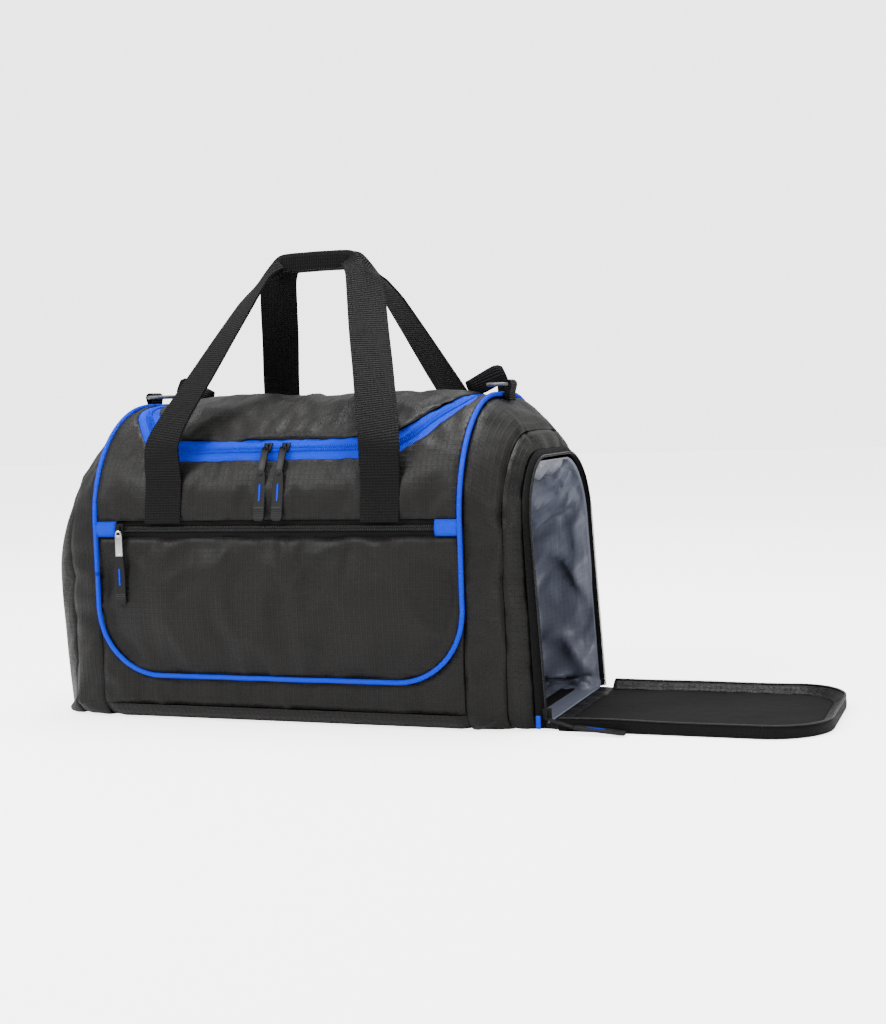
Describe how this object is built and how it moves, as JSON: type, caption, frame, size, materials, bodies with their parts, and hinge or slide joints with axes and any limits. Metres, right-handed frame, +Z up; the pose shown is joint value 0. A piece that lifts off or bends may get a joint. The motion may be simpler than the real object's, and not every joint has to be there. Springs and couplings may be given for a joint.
{
  "type": "duffel bag",
  "caption": "Sports holdall with a curved top zip, two webbing handles, a piped front panel with a zip pocket and a zip-round end compartment whose flap lies open",
  "frame": {"origin": "middle of the base, on the floor the bag stands on", "axes": "+X towards the end compartment, -Y is the front with the pocket, +Z up"},
  "size_m": [0.739, 0.2767, 0.448],
  "materials": {
    "black_ripstop": "matte woven nylon with a fine square grid",
    "blue_trim": "satin woven and piped trim",
    "black_webbing": "ribbed woven webbing",
    "grey_lining": "smooth woven lining",
    "black_zip": "moulded coil",
    "slider_paint": "black paint",
    "puller_metal": "satin metal",
    "pull_tab": "matte moulded",
    "ring_plastic": "matte",
    "stiffener": "matte sheet"
  },
  "bodies": {
    "bag": {"base_panel": "black_ripstop", "base_board": "stiffener", "front_lower_band": "black_ripstop", "rear_lower_band": "black_ripstop", "rear_panel": "black_ripstop", "front_pocket_panel": "black_ripstop", "pocket_back": "grey_lining", "pocket_zip_tape_upper": "black_ripstop", "pocket_zip_tape_lower": "black_ripstop", "pocket_zip_teeth": "black_zip", "pocket_zip_end_left": "blue_trim", "pocket_zip_end_right": "blue_trim", "front_yoke": "black_ripstop", "top_zip_tape_body": "blue_trim", "top_zip_teeth_body": "blue_trim", "left_gusset": "black_ripstop", "left_end_panel": "black_ripstop", "right_gusset": "black_ripstop", "compartment_surround": "black_ripstop", "end_zip_tape_body": "black_webbing", "end_zip_teeth_body": "black_zip", "shoe_lining": "grey_lining", "piping_left": "blue_trim", "piping_right": "blue_trim", "piping_front": "blue_trim", "piping_rear": "blue_trim", "front_handle_patch_left": "black_webbing", "front_handle_patch_right": "black_webbing", "rear_handle_patch_left": "black_webbing", "rear_handle_patch_right": "black_webbing", "ring_tab_left": "black_webbing", "ring_tab_right": "black_webbing", "end_zip_stops": "blue_trim", "flap_hinge_strip": "black_ripstop"},
    "lid": {"lid_panel": "black_ripstop", "top_zip_tape_lid": "blue_trim", "top_zip_teeth_lid": "blue_trim"},
    "left_flag": {"end_tab_left": "black_webbing"},
    "right_flag": {"end_tab_right": "black_webbing"},
    "front_loop": {"front_handle": "black_webbing"},
    "rear_loop": {"rear_handle": "black_webbing"},
    "flap": {"flap_panel": "black_ripstop", "flap_lining": "black_ripstop", "flap_gusset": "black_webbing", "flap_binding": "black_ripstop", "end_zip_teeth_flap": "black_zip"},
    "top_slide_left": {"top_slider_left": "slider_paint"},
    "top_link_left": {"top_puller_left": "slider_paint"},
    "top_tab_left": {"top_pull_tab_left": "pull_tab"},
    "top_slide_right": {"top_slider_right": "slider_paint"},
    "top_link_right": {"top_puller_right": "slider_paint"},
    "top_tab_right": {"top_pull_tab_right": "pull_tab"},
    "pocket_slide": {"pocket_slider": "slider_paint"},
    "pocket_link": {"pocket_puller": "puller_metal"},
    "pocket_tab": {"pocket_pull_tab": "pull_tab"},
    "end_slide": {"end_slider": "slider_paint"},
    "end_link": {"end_puller": "slider_paint"},
    "end_tab": {"end_pull_tab": "pull_tab"},
    "ring_left": {"strap_ring_left": "ring_plastic"},
    "ring_right": {"strap_ring_right": "ring_plastic"}
  },
  "joints": [
    {"name": "lid_hinge", "type": "hinge", "parent": "bag", "child": "lid", "pos_m": [0, 0.05014, 0.29634], "axis": [-1, 0, 0], "range_deg": [0, 76]},
    {"name": "front_handle_swing", "type": "hinge", "parent": "bag", "child": "front_loop", "pos_m": [0, -0.1296, 0.23], "axis": [1, 0, 0], "range_deg": [0, 114]},
    {"name": "rear_handle_swing", "type": "hinge", "parent": "bag", "child": "rear_loop", "pos_m": [0, 0.1296, 0.23], "axis": [-1, 0, 0], "range_deg": [0, 114]},
    {"name": "end_tab_left_swing", "type": "hinge", "parent": "bag", "child": "left_flag", "pos_m": [-0.181, 0, 0.3055], "axis": [0, -1, 0], "range_deg": [0, 121.6]},
    {"name": "end_tab_right_swing", "type": "hinge", "parent": "bag", "child": "right_flag", "pos_m": [0.181, 0, 0.3055], "axis": [0, 1, 0], "range_deg": [0, 121.6]},
    {"name": "end_flap_hinge", "type": "hinge", "parent": "bag", "child": "flap", "pos_m": [0.2605, 0, 0.0065], "axis": [0, -1, 0], "range_deg": [0, 93.2]},
    {"name": "top_zip_left", "type": "slide", "parent": "lid", "child": "top_slide_left", "axis": [-1, 0, 0], "range_m": [0, 0.05]},
    {"name": "top_puller_left_hinge", "type": "hinge", "parent": "top_slide_left", "child": "top_link_left", "pos_m": [-0.0092, -0.11633, 0.25955], "axis": [-1, 0, 0], "range_deg": [0, 90]},
    {"name": "top_tab_left_hinge", "type": "hinge", "parent": "top_link_left", "child": "top_tab_left", "pos_m": [-0.0092, -0.12789, 0.23737], "axis": [-1, 0, 0], "range_deg": [0, 80]},
    {"name": "top_zip_right", "type": "slide", "parent": "lid", "child": "top_slide_right", "axis": [1, 0, 0], "range_m": [0, 0.05]},
    {"name": "top_puller_right_hinge", "type": "hinge", "parent": "top_slide_right", "child": "top_link_right", "pos_m": [0.0092, -0.11633, 0.25955], "axis": [-1, 0, 0], "range_deg": [0, 90]},
    {"name": "top_tab_right_hinge", "type": "hinge", "parent": "top_link_right", "child": "top_tab_right", "pos_m": [0.0092, -0.12789, 0.23737], "axis": [-1, 0, 0], "range_deg": [0, 80]},
    {"name": "pocket_zip", "type": "slide", "parent": "bag", "child": "pocket_slide", "axis": [1, 0, 0], "range_m": [0, 0.316]},
    {"name": "pocket_puller_hinge", "type": "hinge", "parent": "pocket_slide", "child": "pocket_link", "pos_m": [-0.158, -0.1389, 0.183], "axis": [-1, 0, 0], "range_deg": [0, 90]},
    {"name": "pocket_tab_hinge", "type": "hinge", "parent": "pocket_link", "child": "pocket_tab", "pos_m": [-0.158, -0.1389, 0.1596], "axis": [-1, 0, 0], "range_deg": [0, 55]},
    {"name": "end_zip", "type": "slide", "parent": "bag", "child": "end_slide", "axis": [-0.0558, 0, 0.9984], "range_m": [0, 0.155]},
    {"name": "end_puller_hinge", "type": "hinge", "parent": "end_slide", "child": "end_link", "pos_m": [0.2565, -0.1116, 0.012], "axis": [0, -1, 0], "range_deg": [0, 70]},
    {"name": "end_tab_hinge", "type": "hinge", "parent": "end_link", "child": "end_tab", "pos_m": [0.2794, -0.1116, 0.0061], "axis": [0, -1, 0], "range_deg": [0, 35]},
    {"name": "ring_left_hinge", "type": "hinge", "parent": "bag", "child": "ring_left", "pos_m": [-0.1936, 0, 0.311], "axis": [0, -1, 0], "range_deg": [0, 150]},
    {"name": "ring_right_hinge", "type": "hinge", "parent": "bag", "child": "ring_right", "pos_m": [0.1936, 0, 0.311], "axis": [0, 1, 0], "range_deg": [0, 150]}
  ],
  "couplings": [
    {"joint": "front_handle_swing", "follows": "lid_hinge", "ratio": 1.5},
    {"joint": "rear_handle_swing", "follows": "lid_hinge", "ratio": 1.5},
    {"joint": "end_tab_left_swing", "follows": "lid_hinge", "ratio": 1.6},
    {"joint": "end_tab_right_swing", "follows": "lid_hinge", "ratio": 1.6}
  ]
}
